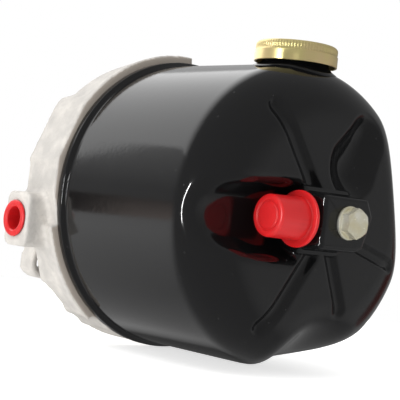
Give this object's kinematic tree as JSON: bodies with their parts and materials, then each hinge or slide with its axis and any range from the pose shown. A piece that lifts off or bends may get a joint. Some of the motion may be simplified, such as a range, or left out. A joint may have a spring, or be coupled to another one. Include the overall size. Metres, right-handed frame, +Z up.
{
  "type": "power steering pump with integral oil reservoir",
  "caption": "Gear pump casting with a deep-drawn black steel oil reservoir can, filler cap and plugged hose ports; turns shaft power into steering oil flow.",
  "frame": {"origin": "centre of the two-bolt mounting flange face, on the drive shaft axis", "axes": "+Y out of the mounting face along the drive shaft, +Z up along the filler cap, +X to the right seen from the reservoir end"},
  "size_m": [0.1662, 0.2213, 0.164],
  "materials": {
    "black_paint": "gloss black stove enamel",
    "cast_aluminium": "as-cast, machined faces",
    "yellow_zinc": "yellow passivated zinc plate on steel",
    "pale_zinc": "pale zinc plate",
    "red_plastic": "translucent polyethylene",
    "steel": "ground",
    "spring_steel": "oil tempered wire",
    "cast_iron": "machined",
    "rubber": "nitrile",
    "bearing_bronze": "bored",
    "paper": "resin treated filter paper"
  },
  "bodies": {
    "pump_and_can": {"reservoir_can": "black_paint", "return_spigot": "black_paint", "filler_neck": "black_paint", "bolt_washer": "pale_zinc", "reservoir_bolt": "pale_zinc", "centre_pillar": "steel", "pillar_o_ring": "rubber", "filter_element": "paper", "filter_inner_cap": "steel", "filter_outer_cap": "steel", "filter_spring": "spring_steel", "pump_casting": "cast_aluminium", "can_o_ring": "rubber", "flow_spring": "spring_steel", "spool_stop_ring": "spring_steel", "gear_housing": "cast_iron", "housing_seal_front": "rubber", "housing_seal_rear": "rubber", "rear_cover": "cast_iron", "housing_dowels": "steel", "housing_bolts": "steel", "bearing_block_front": "cast_aluminium", "bearing_block_rear": "cast_aluminium", "shaft_bushes": "bearing_bronze", "bearing_outer_race": "steel", "bearing_balls": "steel", "bearing_circlip": "spring_steel", "shaft_seal": "rubber", "seal_spring": "spring_steel"},
    "cap_core": {"filler_cap_gasket": "rubber", "filler_cap_disc": "yellow_zinc", "filler_cap_spring": "spring_steel", "filler_cap_rivet": "yellow_zinc", "dipstick": "steel"},
    "cap_shell": {"filler_cap_shell": "yellow_zinc"},
    "return_cap_body": {"return_cap": "red_plastic"},
    "outlet_plug_body": {"outlet_plug": "red_plastic"},
    "drive_shaft": {"drive_gear_shaft": "steel", "bearing_inner_race": "steel"},
    "driven_shaft": {"driven_gear_shaft": "steel"},
    "flow_valve": {"flow_spool": "steel", "relief_seat": "steel", "relief_spring": "spring_steel"},
    "relief_valve": {"relief_ball": "steel"}
  },
  "joints": [
    {"name": "filler_cap_lift", "type": "slide", "parent": "pump_and_can", "child": "cap_core", "axis": [0, 0, 1], "range_m": [0, 0.045]},
    {"name": "filler_cap_turn", "type": "hinge", "parent": "cap_core", "child": "cap_shell", "pos_m": [0, -0.1235, 0.082], "axis": [0, 0, 1], "range_deg": [0, 90]},
    {"name": "return_cap_pull", "type": "slide", "parent": "pump_and_can", "child": "return_cap_body", "axis": [-1, 0, 0], "range_m": [0, 0.022]},
    {"name": "outlet_plug_pull", "type": "slide", "parent": "pump_and_can", "child": "outlet_plug_body", "axis": [-1, 0, 0], "range_m": [0, 0.014]},
    {"name": "drive_shaft_spin", "type": "hinge", "parent": "pump_and_can", "child": "drive_shaft", "pos_m": [0, 0, 0], "axis": [0, 1, 0], "continuous": true},
    {"name": "driven_shaft_spin", "type": "hinge", "parent": "pump_and_can", "child": "driven_shaft", "pos_m": [0, 0, -0.03], "axis": [0, 1, 0], "continuous": true},
    {"name": "flow_spool_slide", "type": "slide", "parent": "pump_and_can", "child": "flow_valve", "axis": [1, 0, 0], "range_m": [0, 0.007], "stiffness_N_per_m": 1500, "springref_m": -0.004, "deforming": ["flow_spring"]},
    {"name": "relief_ball_lift", "type": "slide", "parent": "flow_valve", "child": "relief_valve", "axis": [-1, 0, 0], "range_m": [0, 0.0012], "stiffness_N_per_m": 800, "springref_m": -0.002, "deforming": ["relief_spring"]}
  ],
  "couplings": [
    {"joint": "driven_shaft_spin", "follows": "drive_shaft_spin", "ratio": -1}
  ]
}
